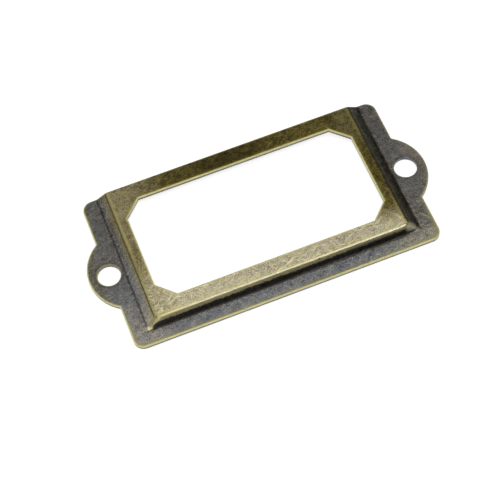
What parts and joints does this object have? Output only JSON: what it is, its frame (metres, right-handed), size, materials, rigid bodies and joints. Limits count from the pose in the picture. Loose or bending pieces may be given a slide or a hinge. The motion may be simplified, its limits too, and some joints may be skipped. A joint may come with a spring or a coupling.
{
  "type": "label frame pull",
  "caption": "Stamped sheet label frame for a drawer front: flat flange with a screw ear at each end and a raised hollow frame round a clipped-corner window, open on one long side.",
  "frame": {"origin": "middle of the flange's flat back, halfway between the two screw holes", "axes": "+X along the plate from one screw ear to the other, +Y across it towards the open card edge, +Z out of the drawer front through the raised face"},
  "size_m": [0.0674, 0.033, 0.002],
  "materials": {
    "bronzed_steel": "antique bronze plating, darkened in the recesses and rubbed bright on the edges"
  },
  "bodies": {
    "root": {"label_frame": "bronzed_steel"}
  },
  "joints": []
}
